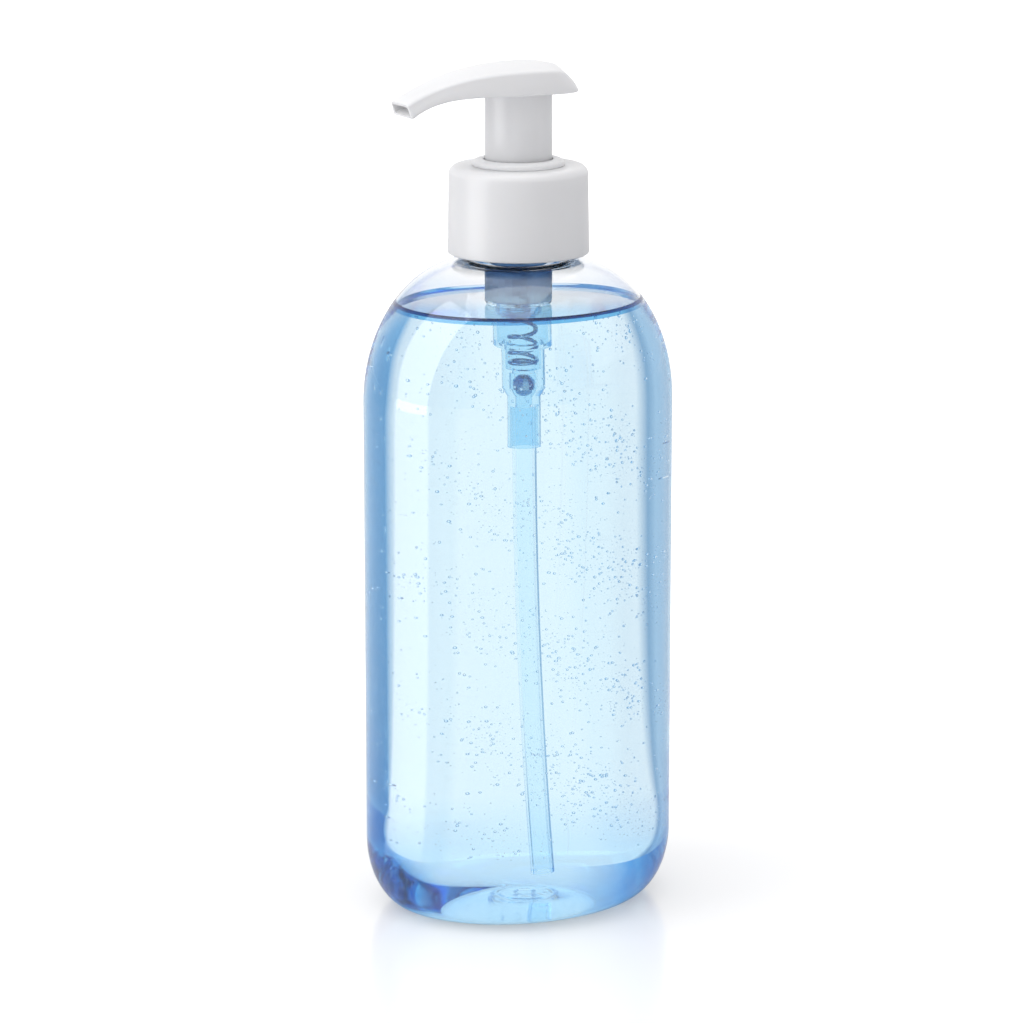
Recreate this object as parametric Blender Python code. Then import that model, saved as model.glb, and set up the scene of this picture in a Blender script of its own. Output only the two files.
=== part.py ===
"""Oval clear bottle of body wash with a screw-on lotion pump, modelled piece by piece.

The frame is +Z up with its origin at the middle of the base. The long way of the oval
runs along X, and the pump's nozzle points along -X. All sizes are in metres.
"""
import math

import bmesh
import bpy
from mathutils import Vector

# Fits
FIT_GAP = 0.0003            # air between two pieces that touch or slide
GEL_CLEARANCE = 0.0010      # room in the gel round the pump, so that the pump can be lifted

# Bottle body
BODY_LENGTH = 0.0770
BODY_DEPTH = 0.0656
BODY_WALL = 0.0008
CORNER_WIDTH = 0.0101       # how far the rounded lower edge runs in from the side wall
CORNER_RISE = 0.0167        # how far the rounded lower edge runs up the side wall
CONTACT_WIDTH = 0.0030      # flat ring that the bottle stands on
PUSH_UP = 0.0050            # height of the hollow under the base
GATE_RADIUS = 0.0018        # the moulding's gate mark, under the middle of the base
GATE_HEIGHT = 0.0006
SHOULDER_START = 0.1250
SHOULDER_RISE = 0.0342
HEADSPACE = 0.0097          # air from the gel's surface to the shoulder's top

# Bottle neck
NECK_HEIGHT = 0.0184
NECK_WALL = 0.0018
NECK_CLEARANCE = 0.0007     # between the pump's cup and the neck's bore
NECK_FILLET = 0.0021

# Screw thread, six turns to the inch
THREAD_LEAD = 0.0254 / 6
THREAD_TURNS = 1.5
THREAD_DEPTH = 0.00115
THREAD_ROOT = 0.0021        # width of the ridge at the wall
THREAD_CREST = 0.0009       # width of the ridge at its crest
THREAD_TOP_MARGIN = 0.0021  # from the neck's rim to the top of the ridge
THREAD_BURY = 0.0004        # how far the ridge's foot is sunk into its wall
THREAD_FADE = math.radians(35)

# Closure
CLOSURE_HEIGHT = 0.0211
CLOSURE_RADIUS = 0.0170
CLOSURE_DRAFT = 0.00035     # the outer wall leans in by this much towards the top
CLOSURE_ROUND = 0.0020
CLOSURE_WALL = 0.0010
CLOSURE_LIP = 0.0004        # rounding of the lower rim
DECK_THICKNESS = 0.0013
INNER_SKIRT_RAISE = 0.0026  # the threaded inner skirt stops this far above the outer rim
SKIRT_GROOVE_ROOF = 0.0032  # solid height above the groove between the two skirts

# Gasket and housing
GASKET_THICKNESS = 0.0010
FLANGE_THICKNESS = 0.0012
FLANGE_INSET = 0.0002       # the flange and the gasket stop this far inside the neck's outside
HOUSING_WALL = 0.0008
CUP_DEPTH = 0.0153
CHAMBER_RADIUS = 0.00805
CUP_TAPER = 0.0015
BARREL_DEPTH = 0.0119
WAIST_DEPTH = 0.0054
CAGE_LIP = 0.0008
PASSAGE_BORE = 0.0015
PASSAGE_LENGTH = 0.0020
SOCKET_DEPTH = 0.0092
SOCKET_WALL = 0.00055
BALL_SEAT_SLOPE = math.radians(56.7)

# Chaplet, the collar that is snapped into the housing
CHAPLET_WALL = 0.00055
CHAPLET_FLOOR = 0.0012
COLLAR_RADIUS = 0.0110
COLLAR_HEIGHT = 0.0013
COLLAR_BEVEL = 0.0018
SNAP_DROP = 0.0083          # from the closure's deck down to the snap bead
SNAP_HEIGHT = 0.0010
SNAP_DEPTH = 0.0003
GUIDE_WALL = 0.0011
GUIDE_HEIGHT = 0.0033

# Moving rod
STROKE = 0.0124
STEM_RADIUS = 0.0030
STEM_BORE = 0.0019
STEM_SHOULDER = 0.0013      # how far the stop shoulder stands out
STEM_SHOULDER_HEIGHT = 0.0010
PORT_WIDTH = 0.0018
PORT_HEIGHT = 0.0014
PORT_RAISE = 0.0008         # from the stem's lower end to the ports
PISTON_SLIP = 0.0008        # how far the stem moves before it takes the piston along
PISTON_HEIGHT = 0.0032
PISTON_HUB_HEIGHT = 0.0026
PISTON_HUB_WALL = 0.0010
PISTON_LIP = 0.0006
PISTON_WEB = 0.0009
SEAT_THICKNESS = 0.0014
SEAT_NUB = 0.0020
SEAT_PLUG = 0.0034
BARREL_CLEARANCE = 0.0008   # between the valve seat's flange and the barrel

# Spring and ball
SPRING_RADIUS = 0.0030
SPRING_WIRE = 0.00040
SPRING_TURNS = 10
BALL_RADIUS = 0.0022
BALL_LIFT = 0.0014
BALL_CLEARANCE = 0.00035
CAGE_OVERLAP = 0.0002       # how much smaller than the ball the cage's lip is

# Dip tube
TUBE_RADIUS = 0.0023
TUBE_WALL = 0.0006
TUBE_END_GAP = 0.0028       # from the tube's end to the bottle's floor
TUBE_CURL_X = 0.0031        # how far the tube's own curl takes its end off the axis
TUBE_CURL_Y = -0.0017

# Actuator
HEAD_LIFT = 0.0161          # from the collar's top to the head's underside
SKIRT_RADIUS = 0.00805
SKIRT_WALL = 0.0010
SKIRT_ENGAGEMENT = 0.0024
SOCKET_TUBE_WALL = 0.0010
STEM_TOP_DEPTH = 0.0013     # how far below the head's underside the stem stops
HEAD_SIDE_HEIGHT = 0.0057
HEAD_DOME = 0.0014
HEAD_REACH = 0.0317         # from the axis to the nozzle's tip
HEAD_REAR = 0.0133
HEAD_REAR_LEAN = 0.0034
HEAD_REAR_DROP = 0.0012     # how far the top falls towards the rear end
HEAD_HALF_WIDTH = 0.0110
HEAD_SIDE_LEAN = 0.0007
HEAD_ROUND = 0.0007
REAR_ROUND_START = 0.0045
NOZZLE_HALF_WIDTH = 0.0052
NOZZLE_TOP_DROP = 0.0067
NOZZLE_BASE_DROP = 0.0044
NOZZLE_RAKE = 0.0013
CHANNEL_WIDTH = 0.0080
CHANNEL_THROAT = 0.0040
CHANNEL_HEIGHT = 0.0022

# How finely the round pieces are divided
BODY_SIDES = 40
RING_SIDES = 28
SMALL_SIDES = 16

# Heights, from the base up
SHOULDER_TOP = SHOULDER_START + SHOULDER_RISE
GEL_LEVEL = SHOULDER_TOP - HEADSPACE
NECK_TOP = SHOULDER_TOP + NECK_HEIGHT
GASKET_BASE = NECK_TOP + FIT_GAP
FLANGE_BASE = GASKET_BASE + GASKET_THICKNESS + FIT_GAP
FLANGE_TOP = FLANGE_BASE + FLANGE_THICKNESS
DECK_BASE = FLANGE_TOP + FIT_GAP
DECK_TOP = DECK_BASE + DECK_THICKNESS
COLLAR_BASE = DECK_TOP + FIT_GAP
COLLAR_TOP = COLLAR_BASE + COLLAR_HEIGHT
HEAD_BASE = COLLAR_TOP + HEAD_LIFT
CLOSURE_BASE = DECK_TOP - CLOSURE_HEIGHT

# Heights, from the cup's ledge down
LEDGE = DECK_TOP - CUP_DEPTH
CHAPLET_BASE = LEDGE + FIT_GAP
SHOULDER_STOP = CHAPLET_BASE - FIT_GAP
STEM_SHOULDER_BASE = SHOULDER_STOP - STEM_SHOULDER_HEIGHT
PISTON_BASE = STEM_SHOULDER_BASE - FIT_GAP - PISTON_SLIP - PISTON_HUB_HEIGHT
SEAT_TOP = PISTON_BASE - FIT_GAP
SEAT_BASE = SEAT_TOP - SEAT_THICKNESS
STEM_BASE = SEAT_TOP + FIT_GAP
SPRING_TOP = SEAT_BASE - FIT_GAP
CHAMBER_FLOOR = PISTON_BASE - STROKE - FIT_GAP
BARREL_FLOOR = CHAMBER_FLOOR - BARREL_DEPTH
SPRING_LEDGE = BARREL_FLOOR - WAIST_DEPTH
SPRING_BASE = SPRING_LEDGE + FIT_GAP
CAGE_TOP = SPRING_LEDGE - CAGE_LIP

# Radii, from the axis out
GUIDE_BORE = STEM_RADIUS + FIT_GAP
PISTON_HUB_RADIUS = GUIDE_BORE + PISTON_HUB_WALL
SEAT_RADIUS = PISTON_HUB_RADIUS - FIT_GAP
BARREL_BORE = SEAT_RADIUS + BARREL_CLEARANCE
WAIST_BORE = SPRING_RADIUS + FIT_GAP
CAGE_BORE = BALL_RADIUS + BALL_CLEARANCE
CAGE_LIP_BORE = BALL_RADIUS - CAGE_OVERLAP
SOCKET_BORE = TUBE_RADIUS + FIT_GAP
CHAMBER_BORE = CHAMBER_RADIUS - HOUSING_WALL
CHAPLET_BORE = SKIRT_RADIUS + FIT_GAP
CHAPLET_RADIUS = CHAPLET_BORE + CHAPLET_WALL
CUP_BORE = CHAPLET_RADIUS + FIT_GAP
CUP_RADIUS = CUP_BORE + HOUSING_WALL
NECK_BORE = CUP_RADIUS + NECK_CLEARANCE
NECK_RADIUS = NECK_BORE + NECK_WALL
FLANGE_RADIUS = NECK_RADIUS - FLANGE_INSET
THREAD_CREST_RADIUS = NECK_RADIUS + THREAD_DEPTH
INNER_SKIRT_BORE = THREAD_CREST_RADIUS + FIT_GAP

# The ball rests a hair above its conical seat and is stopped by the cage's lip
BALL_RAISED = CAGE_TOP - math.sqrt(BALL_RADIUS ** 2 - CAGE_LIP_BORE ** 2) - FIT_GAP
BALL_CENTRE = BALL_RAISED - BALL_LIFT
SEAT_APEX = BALL_CENTRE - (BALL_RADIUS + FIT_GAP) / math.cos(BALL_SEAT_SLOPE)
PASSAGE_TOP = SEAT_APEX + PASSAGE_BORE * math.tan(BALL_SEAT_SLOPE)
CAGE_FLOOR = SEAT_APEX + CAGE_BORE * math.tan(BALL_SEAT_SLOPE)
TUBE_STOP = PASSAGE_TOP - PASSAGE_LENGTH
TUBE_TOP = TUBE_STOP - FIT_GAP
HOUSING_FOOT = TUBE_STOP - SOCKET_DEPTH
TUBE_BASE = PUSH_UP + BODY_WALL + TUBE_END_GAP


def clear_scene():
    for obj in list(bpy.data.objects):
        bpy.data.objects.remove(obj, do_unlink=True)


def material(name, colour, roughness, metallic=0.0, transmission=0.0, ior=1.5):
    mat = bpy.data.materials.new(name)
    mat.use_nodes = True
    shader = mat.node_tree.nodes["Principled BSDF"]
    shader.inputs["Base Color"].default_value = (*colour, 1.0)
    shader.inputs["Roughness"].default_value = roughness
    shader.inputs["Metallic"].default_value = metallic
    shader.inputs["Transmission Weight"].default_value = transmission
    shader.inputs["IOR"].default_value = ior
    mat.diffuse_color = (*colour, 1.0)
    return mat


def add_object(name, bm, mat=None, sharp_angle=35):
    """Turn a bmesh into an object, with its faces pointing out and its curves smooth."""
    bmesh.ops.recalc_face_normals(bm, faces=bm.faces)
    mesh = bpy.data.meshes.new(name)
    bm.to_mesh(mesh)
    bm.free()
    mesh.shade_smooth()
    mesh.set_sharp_from_angle(angle=math.radians(sharp_angle))
    obj = bpy.data.objects.new(name, mesh)
    bpy.context.scene.collection.objects.link(obj)
    if mat is not None:
        mesh.materials.append(mat)
    return obj


def turned(name, outline, mat=None, sides=RING_SIDES):
    """Spin an outline of (radius, height) points; one that leaves the axis closes on itself."""
    bm = bmesh.new()
    verts = [bm.verts.new((radius, 0.0, height)) for radius, height in outline]
    edges = [bm.edges.new(pair) for pair in zip(verts, verts[1:])]
    if outline[0][0] > 0.0:
        edges.append(bm.edges.new((verts[-1], verts[0])))
    bmesh.ops.spin(bm, geom=verts + edges, cent=(0, 0, 0), axis=(0, 0, 1), dvec=(0, 0, 0),
                   angle=math.tau, steps=sides, use_merge=True, use_duplicate=False)
    bmesh.ops.remove_doubles(bm, verts=bm.verts, dist=1e-7)
    return add_object(name, bm, mat)


def skinned(name, rings, mat=None, sharp_angle=35):
    """Join rings of points by faces; a ring of one point is a pole, other ends get a flat cap."""
    bm = bmesh.new()
    loops = [[bm.verts.new(point) for point in ring] for ring in rings]
    for lower, upper in zip(loops, loops[1:]):
        count = max(len(lower), len(upper))
        for k in range(count):
            after = (k + 1) % count
            if len(lower) == 1:
                bm.faces.new((lower[0], upper[after], upper[k]))
            elif len(upper) == 1:
                bm.faces.new((lower[k], lower[after], upper[0]))
            else:
                bm.faces.new((lower[k], lower[after], upper[after], upper[k]))
    for end in (loops[0], loops[-1]):
        if len(end) > 1:
            bm.faces.new(end)
    bmesh.ops.remove_doubles(bm, verts=bm.verts, dist=1e-7)
    bmesh.ops.dissolve_degenerate(bm, edges=bm.edges, dist=1e-7)
    return add_object(name, bm, mat, sharp_angle)


def combine(obj, tool, operation):
    """Add or cut away a hidden tool solid."""
    tool.hide_render = True
    tool.display_type = "WIRE"
    modifier = obj.modifiers.new(tool.name, "BOOLEAN")
    modifier.operation = operation
    modifier.solver = "EXACT"
    modifier.object = tool


def arc(centre_r, centre_z, radius, start, end, steps):
    """Points on a round of an outline, with angles in degrees from the +radius direction."""
    points = []
    for k in range(steps + 1):
        angle = math.radians(start + (end - start) * k / steps)
        points.append((centre_r + radius * math.cos(angle), centre_z + radius * math.sin(angle)))
    return points


def ease(value):
    """Go smoothly from 0 to 1."""
    value = min(max(value, 0.0), 1.0)
    return value * value * (3.0 - 2.0 * value)


def oval(half_x, half_y, height, sides=BODY_SIDES):
    if half_x <= 0.0 or half_y <= 0.0:
        return [Vector((0.0, 0.0, height))]
    turn = math.tau / sides
    return [Vector((half_x * math.cos(k * turn), half_y * math.sin(k * turn), height))
            for k in range(sides)]


def base_stations():
    """Half length, half depth and height from the base's middle out to the side wall."""
    half_x = BODY_LENGTH / 2
    half_y = BODY_DEPTH / 2
    inner_inset = CORNER_WIDTH + CONTACT_WIDTH
    stations = [(0.0, 0.0, PUSH_UP)]
    for share in (0.35, 0.70, 1.0):
        height = PUSH_UP * (1.0 - share ** 2)
        stations.append((share * (half_x - inner_inset), share * (half_y - inner_inset), height))
    corner_steps = 5
    for k in range(corner_steps + 1):
        angle = math.pi / 2 * k / corner_steps
        inset = CORNER_WIDTH * (1.0 - math.sin(angle))
        stations.append((half_x - inset, half_y - inset, CORNER_RISE * (1.0 - math.cos(angle))))
    return stations


def shoulder_stations(steps=8, last_angle=83):
    """From the top of the side wall in towards the neck, on a quarter of an ellipse."""
    stations = []
    for k in range(steps + 1):
        angle = math.radians(last_angle) * k / steps
        share = math.cos(angle)
        stations.append((NECK_RADIUS + (BODY_LENGTH / 2 - NECK_RADIUS) * share,
                         NECK_RADIUS + (BODY_DEPTH / 2 - NECK_RADIUS) * share,
                         SHOULDER_START + SHOULDER_RISE * math.sin(angle)))
    return stations


def offset_stations(stations, inset):
    """Move a run of stations inwards by one wall, square to the surface."""
    moved = []
    last = len(stations) - 1
    for k, (half_x, half_y, height) in enumerate(stations):
        before = stations[max(k - 1, 0)]
        after = stations[min(k + 1, last)]
        rise = after[2] - before[2]
        run_x = after[0] - before[0]
        run_y = after[1] - before[1]
        slope_x = math.hypot(rise, run_x)
        slope_y = math.hypot(rise, run_y)
        lift = inset * (run_x / slope_x + run_y / slope_y) / 2
        if half_x == 0.0:
            moved.append((0.0, 0.0, height + inset))
        else:
            moved.append((half_x - inset * rise / slope_x, half_y - inset * rise / slope_y,
                          height + lift))
    return moved


def body_rings(inset=0.0, level=None):
    """Rings of the body's surface from the base's middle upwards, or up to a level."""
    stations = base_stations() + shoulder_stations()
    if inset:
        stations = offset_stations(stations, inset)
    if level is not None:
        below = [station for station in stations if station[2] < level]
        above = stations[len(below)]
        share = (level - below[-1][2]) / (above[2] - below[-1][2])
        below.append(tuple(a + (b - a) * share for a, b in zip(below[-1], above)))
        stations = below
    return [oval(*station) for station in stations]


def thread_ridge(name, wall_radius, crest_radius, middle, turns, sides=BODY_SIDES):
    """A helical ridge on a wall, fading out at both ends; it may face out or in."""
    towards_crest = 1.0 if crest_radius > wall_radius else -1.0
    buried_radius = wall_radius - towards_crest * THREAD_BURY
    steps = round(turns * sides)
    rings = []
    for k in range(steps + 1):
        angle = (k - steps / 2 + 0.4) * math.tau / sides
        from_end = min(k, steps - k) * math.tau / sides
        share = 0.30 + 0.70 * ease(from_end / THREAD_FADE)
        top_radius = wall_radius + (crest_radius - wall_radius) * share
        height = middle + THREAD_LEAD * angle / math.tau
        section = ((buried_radius, -THREAD_ROOT / 2), (top_radius, -THREAD_CREST / 2),
                   (top_radius, THREAD_CREST / 2), (buried_radius, THREAD_ROOT / 2))
        rings.append([Vector((radius * math.cos(angle), radius * math.sin(angle), height + up))
                      for radius, up in section])
    return skinned(name, rings)


def swept_tube(name, path, outer, inner, mat=None, sides=SMALL_SIDES):
    """A round tube, or a rod if it has no bore, along a path of points."""
    outside = []
    inside = []
    for k, point in enumerate(path):
        ahead = path[min(k + 1, len(path) - 1)] - path[max(k - 1, 0)]
        ahead.normalize()
        across = ahead.cross(Vector((0.0, 1.0, 0.0))).normalized()
        up = across.cross(ahead)
        turn = math.tau / sides
        spokes = [across * math.cos(j * turn) + up * math.sin(j * turn) for j in range(sides)]
        outside.append([point + spoke * outer for spoke in spokes])
        inside.append([point + spoke * inner for spoke in spokes])
    if inner <= 0.0:
        return skinned(name, outside, mat)
    rings = outside + inside[::-1]
    bm = bmesh.new()
    loops = [[bm.verts.new(point) for point in ring] for ring in rings]
    for lower, upper in zip(loops, loops[1:] + loops[:1]):
        for k in range(sides):
            after = (k + 1) % sides
            bm.faces.new((lower[k], lower[after], upper[after], upper[k]))
    return add_object(name, bm, mat)


def make_bottle(mat):
    """One blown shell: body, shoulder and a threaded neck that is open at the top."""
    gate = [oval(0.0, 0.0, PUSH_UP - GATE_HEIGHT),
            oval(GATE_RADIUS * 0.8, GATE_RADIUS * 0.8, PUSH_UP - GATE_HEIGHT),
            oval(GATE_RADIUS, GATE_RADIUS, PUSH_UP - GATE_HEIGHT * 0.4)]
    outside = gate + body_rings()[1:]
    inside = body_rings(inset=BODY_WALL)
    neck_start = SHOULDER_TOP + NECK_FILLET
    throat = SHOULDER_TOP - BODY_WALL
    chamfer = FIT_GAP
    neck = [oval(NECK_RADIUS + NECK_FILLET * 0.35, NECK_RADIUS + NECK_FILLET * 0.35,
                 SHOULDER_TOP + NECK_FILLET * 0.25),
            oval(NECK_RADIUS, NECK_RADIUS, neck_start),
            oval(NECK_RADIUS, NECK_RADIUS, NECK_TOP - chamfer),
            oval(NECK_RADIUS - chamfer, NECK_RADIUS - chamfer, NECK_TOP),
            oval(NECK_BORE, NECK_BORE, NECK_TOP),
            oval(NECK_BORE, NECK_BORE, throat)]
    bottle = skinned("bottle", outside + neck + inside[::-1], mat, sharp_angle=50)
    drop = THREAD_TOP_MARGIN + THREAD_ROOT / 2 + THREAD_LEAD * THREAD_TURNS / 2
    ridge = thread_ridge("bottle_thread", NECK_RADIUS, THREAD_CREST_RADIUS, NECK_TOP - drop,
                         THREAD_TURNS)
    combine(bottle, ridge, "UNION")
    return bottle


def make_gel(mat):
    """The liquid, up to its level, with room for the pump and its tube."""
    gel = skinned("body_wash", body_rings(inset=BODY_WALL + FIT_GAP, level=GEL_LEVEL), mat)
    above = GEL_LEVEL + PUSH_UP
    outline = [(0.0, above)]
    outline += [(radius + GEL_CLEARANCE, height) for radius, height in
                ((CHAMBER_RADIUS, above),
                 (CHAMBER_RADIUS, CHAMBER_FLOOR - HOUSING_WALL - GEL_CLEARANCE),
                 (BARREL_BORE + HOUSING_WALL, CHAMBER_FLOOR - HOUSING_WALL - GEL_CLEARANCE),
                 (BARREL_BORE + HOUSING_WALL, BARREL_FLOOR - HOUSING_WALL - GEL_CLEARANCE),
                 (WAIST_BORE + HOUSING_WALL, BARREL_FLOOR - HOUSING_WALL - GEL_CLEARANCE),
                 (WAIST_BORE + HOUSING_WALL, CAGE_FLOOR - GEL_CLEARANCE),
                 (SOCKET_BORE + SOCKET_WALL, PASSAGE_TOP - GEL_CLEARANCE),
                 (SOCKET_BORE + SOCKET_WALL, HOUSING_FOOT - GEL_CLEARANCE))]
    outline.append((0.0, HOUSING_FOOT - GEL_CLEARANCE))
    combine(gel, turned("gel_pump_room", outline, sides=SMALL_SIDES), "DIFFERENCE")
    path = tube_path(start=HOUSING_FOOT + SOCKET_WALL, end=TUBE_BASE - GEL_CLEARANCE)
    combine(gel, swept_tube("gel_tube_room", path, TUBE_RADIUS + GEL_CLEARANCE, 0.0), "DIFFERENCE")
    return gel


def closure_outer(height):
    """The drafted outer wall's radius at a height."""
    share = (height - CLOSURE_BASE) / CLOSURE_HEIGHT
    return CLOSURE_RADIUS - CLOSURE_DRAFT * share


def make_closure(mat):
    """Smooth screw cap with a holed deck, an outer skirt and a threaded inner skirt."""
    round_base = DECK_TOP - CLOSURE_ROUND
    groove_roof = DECK_TOP - SKIRT_GROOVE_ROOF
    inner_base = CLOSURE_BASE + INNER_SKIRT_RAISE
    inner_radius = INNER_SKIRT_BORE + CLOSURE_WALL
    hole = CUP_RADIUS + FIT_GAP
    outline = [(CLOSURE_RADIUS - CLOSURE_LIP, CLOSURE_BASE),
               (CLOSURE_RADIUS, CLOSURE_BASE + CLOSURE_LIP)]
    outline += arc(closure_outer(round_base) - CLOSURE_ROUND, round_base, CLOSURE_ROUND, 0, 90, 4)
    outline += [(hole, DECK_TOP), (hole, DECK_BASE), (INNER_SKIRT_BORE, DECK_BASE),
                (INNER_SKIRT_BORE, inner_base), (inner_radius, inner_base),
                (inner_radius, groove_roof), (closure_outer(groove_roof) - CLOSURE_WALL, groove_roof),
                (CLOSURE_RADIUS - CLOSURE_WALL, CLOSURE_BASE)]
    closure = turned("closure", outline, mat, sides=BODY_SIDES)
    # Done up tight, the cap's ridge lies just under the neck's ridge
    flank = (THREAD_ROOT - THREAD_CREST) / 2 / THREAD_DEPTH
    ridge_depth = THREAD_DEPTH
    overlap_radius = THREAD_CREST_RADIUS - FIT_GAP
    neck_half = THREAD_ROOT / 2 - flank * (overlap_radius - NECK_RADIUS)
    cap_half = THREAD_ROOT / 2 - flank * (INNER_SKIRT_BORE - overlap_radius)
    below = neck_half + cap_half + FIT_GAP
    drop = THREAD_TOP_MARGIN + THREAD_ROOT / 2 + THREAD_LEAD * THREAD_TURNS / 2
    ridge = thread_ridge("closure_thread", INNER_SKIRT_BORE, INNER_SKIRT_BORE - ridge_depth,
                         NECK_TOP - drop - below, THREAD_TURNS)
    combine(closure, ridge, "UNION")
    return closure


def make_gasket(mat):
    """Flat washer between the neck's rim and the housing's flange."""
    bore = CUP_RADIUS + FIT_GAP
    top = GASKET_BASE + GASKET_THICKNESS
    return turned("gasket", [(FLANGE_RADIUS, top), (FLANGE_RADIUS, GASKET_BASE),
                             (bore, GASKET_BASE), (bore, top)], mat)


def make_housing(mat):
    """Stepped pump body: cup, flange, piston chamber, spring barrel, ball cage and tube socket."""
    waist = WAIST_BORE + HOUSING_WALL
    barrel = BARREL_BORE + HOUSING_WALL
    socket = SOCKET_BORE + SOCKET_WALL
    snap = DECK_TOP - SNAP_DROP
    chamber_foot = CHAMBER_FLOOR - HOUSING_WALL
    barrel_foot = BARREL_FLOOR - HOUSING_WALL
    outside = [(CUP_RADIUS, DECK_TOP), (CUP_RADIUS, FLANGE_TOP), (FLANGE_RADIUS, FLANGE_TOP),
               (FLANGE_RADIUS, FLANGE_BASE), (CUP_RADIUS, FLANGE_BASE),
               (CUP_RADIUS, LEDGE - HOUSING_WALL),
               (CHAMBER_RADIUS, LEDGE - HOUSING_WALL - CUP_TAPER)]
    outside += arc(CHAMBER_RADIUS - HOUSING_WALL, chamber_foot + HOUSING_WALL, HOUSING_WALL,
                   0, -90, 3)
    outside += [(barrel, chamber_foot), (barrel, barrel_foot), (waist, barrel_foot),
                (waist, CAGE_FLOOR), (socket, PASSAGE_TOP), (socket, HOUSING_FOOT)]
    inside = [(SOCKET_BORE, HOUSING_FOOT), (SOCKET_BORE, TUBE_STOP), (PASSAGE_BORE, TUBE_STOP),
              (PASSAGE_BORE, PASSAGE_TOP), (CAGE_BORE, CAGE_FLOOR), (CAGE_BORE, CAGE_TOP),
              (CAGE_LIP_BORE, CAGE_TOP), (CAGE_LIP_BORE, SPRING_LEDGE),
              (WAIST_BORE, SPRING_LEDGE), (WAIST_BORE, BARREL_FLOOR),
              (BARREL_BORE, BARREL_FLOOR), (BARREL_BORE, CHAMBER_FLOOR),
              (CHAMBER_BORE, CHAMBER_FLOOR), (CHAMBER_BORE, LEDGE), (CUP_BORE, LEDGE),
              (CUP_BORE, snap - SNAP_HEIGHT / 2), (CUP_BORE + SNAP_DEPTH, snap),
              (CUP_BORE, snap + SNAP_HEIGHT / 2), (CUP_BORE, DECK_TOP)]
    return turned("housing", outside + inside, mat)


def make_chaplet(mat):
    """Retaining collar: a domed ring over the deck, a sleeve with a snap bead, and a guide tube."""
    snap = DECK_TOP - SNAP_DROP
    floor = CHAPLET_BASE + CHAPLET_FLOOR
    guide = GUIDE_BORE + GUIDE_WALL
    outline = [(CHAPLET_BORE, COLLAR_TOP), (COLLAR_RADIUS - COLLAR_BEVEL, COLLAR_TOP),
               (COLLAR_RADIUS - COLLAR_BEVEL * 0.35, COLLAR_TOP - COLLAR_HEIGHT * 0.28),
               (COLLAR_RADIUS, COLLAR_TOP - COLLAR_HEIGHT * 0.7), (COLLAR_RADIUS, COLLAR_BASE),
               (CHAPLET_RADIUS, COLLAR_BASE), (CHAPLET_RADIUS, snap + SNAP_HEIGHT / 2),
               (CHAPLET_RADIUS + SNAP_DEPTH, snap), (CHAPLET_RADIUS, snap - SNAP_HEIGHT / 2),
               (CHAPLET_RADIUS, CHAPLET_BASE), (GUIDE_BORE, CHAPLET_BASE),
               (GUIDE_BORE, floor + GUIDE_HEIGHT), (guide, floor + GUIDE_HEIGHT),
               (guide, floor), (CHAPLET_BORE, floor)]
    return turned("chaplet", outline, mat)


def make_stem(mat):
    """Hollow rod with a stop shoulder and two inlet ports near its lower end."""
    shoulder = STEM_RADIUS + STEM_SHOULDER
    top = HEAD_BASE - STEM_TOP_DEPTH
    stem = turned("stem", [(STEM_RADIUS, top), (STEM_RADIUS, SHOULDER_STOP),
                           (shoulder, SHOULDER_STOP), (shoulder, STEM_SHOULDER_BASE),
                           (STEM_RADIUS, STEM_SHOULDER_BASE), (STEM_RADIUS, STEM_BASE),
                           (STEM_BORE, STEM_BASE), (STEM_BORE, top)], mat, sides=SMALL_SIDES)
    bm = bmesh.new()
    bmesh.ops.create_cube(bm, size=1.0)
    bmesh.ops.scale(bm, vec=(PORT_WIDTH, 4 * STEM_RADIUS, PORT_HEIGHT), verts=bm.verts)
    bmesh.ops.translate(bm, vec=(0, 0, STEM_BASE + PORT_RAISE + PORT_HEIGHT / 2), verts=bm.verts)
    combine(stem, add_object("stem_ports", bm), "DIFFERENCE")
    return stem


def make_piston(mat):
    """Soft sleeve: a hub round the stem, a web, and a wiper with a lip at each end."""
    wiper = CHAMBER_BORE - FIT_GAP
    top = PISTON_BASE + PISTON_HEIGHT
    hub_top = PISTON_BASE + PISTON_HUB_HEIGHT
    web_base = PISTON_BASE + (PISTON_HUB_HEIGHT - PISTON_WEB) / 2
    web_top = web_base + PISTON_WEB
    middle = (web_base + web_top) / 2
    outline = [(wiper, top), (wiper - PISTON_LIP / 2, middle), (wiper, PISTON_BASE),
               (wiper - PISTON_LIP, PISTON_BASE), (wiper - 1.5 * PISTON_LIP, web_base),
               (PISTON_HUB_RADIUS, web_base), (PISTON_HUB_RADIUS, PISTON_BASE),
               (GUIDE_BORE, PISTON_BASE), (GUIDE_BORE, hub_top), (PISTON_HUB_RADIUS, hub_top),
               (PISTON_HUB_RADIUS, web_top), (wiper - 1.5 * PISTON_LIP, web_top),
               (wiper - PISTON_LIP, top)]
    return turned("piston", outline, mat)


def make_piston_seat(mat):
    """Plug in the stem's lower end, with the valve flange and a nub that centres the spring."""
    plug = STEM_BORE - FIT_GAP
    nub = SPRING_RADIUS - 2 * SPRING_WIRE - FIT_GAP
    nub_base = SEAT_BASE - SEAT_NUB
    return turned("piston_seat", [(0.0, SEAT_TOP + SEAT_PLUG), (plug * 0.8, SEAT_TOP + SEAT_PLUG),
                                  (plug, SEAT_TOP + SEAT_PLUG - FIT_GAP), (plug, SEAT_TOP),
                                  (SEAT_RADIUS, SEAT_TOP), (SEAT_RADIUS, SEAT_BASE),
                                  (nub, SEAT_BASE), (nub, nub_base + FIT_GAP),
                                  (nub * 0.8, nub_base), (0.0, nub_base)], mat, sides=SMALL_SIDES)


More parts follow.
